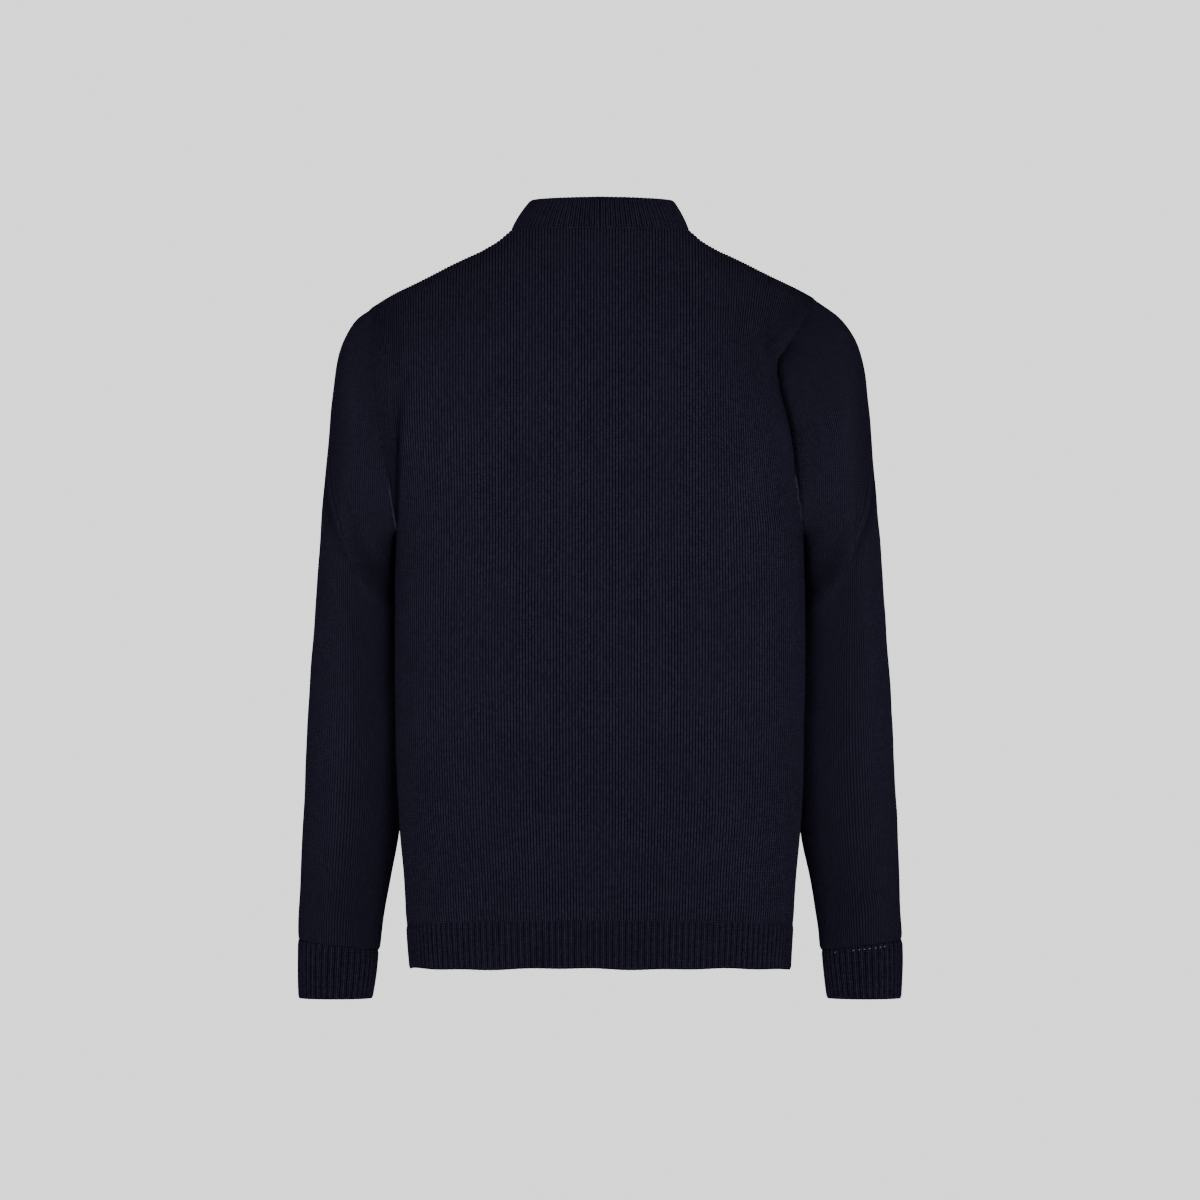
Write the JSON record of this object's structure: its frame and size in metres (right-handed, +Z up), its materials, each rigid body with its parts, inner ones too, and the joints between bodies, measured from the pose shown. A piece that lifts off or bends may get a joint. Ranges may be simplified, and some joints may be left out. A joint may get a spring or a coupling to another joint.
{
  "type": "zip-up cardigan",
  "caption": "Dark knitted zip-up cardigan with long sleeves, ribbed standing collar, ribbed cuffs and hem, filled out as worn with no wearer.",
  "frame": {"origin": "midway between the shoulders, level with the middle of the shoulder slope, where the wearer's shoulders carry the garment", "axes": "+Z up, +Y out of the garment's back, -Y out of its front, +X the wearer's left"},
  "size_m": [0.5779, 0.2537, 0.7615],
  "materials": {
    "knit": "fine stocking-stitch wool knit, matt",
    "rib": "ribbed wool knit, matt",
    "tape": "woven tape, matt",
    "zip_metal": "dark plated metal, satin"
  },
  "bodies": {
    "garment": {"back": "knit", "front_left": "knit", "front_right": "knit", "sleeve_left": "knit", "sleeve_right": "knit", "cuff_left": "rib", "cuff_right": "rib", "collar": "rib", "hem_back": "rib", "hem_front_left": "rib", "hem_front_right": "rib", "zip_tape_left": "tape", "zip_tape_right": "tape", "zip_teeth_left": "zip_metal", "zip_teeth_right": "zip_metal", "zip_slider": "zip_metal", "zip_bottom_box": "zip_metal", "zip_top_stop_left": "zip_metal", "zip_top_stop_right": "zip_metal"},
    "pull_tab": {"zip_pull_tab": "zip_metal"}
  },
  "joints": [
    {"name": "pull_tab_swing", "type": "hinge", "parent": "garment", "child": "pull_tab", "pos_m": [0, -0.08576, 0.00745], "axis": [-1, 0, 0], "range_deg": [0, 160]}
  ]
}
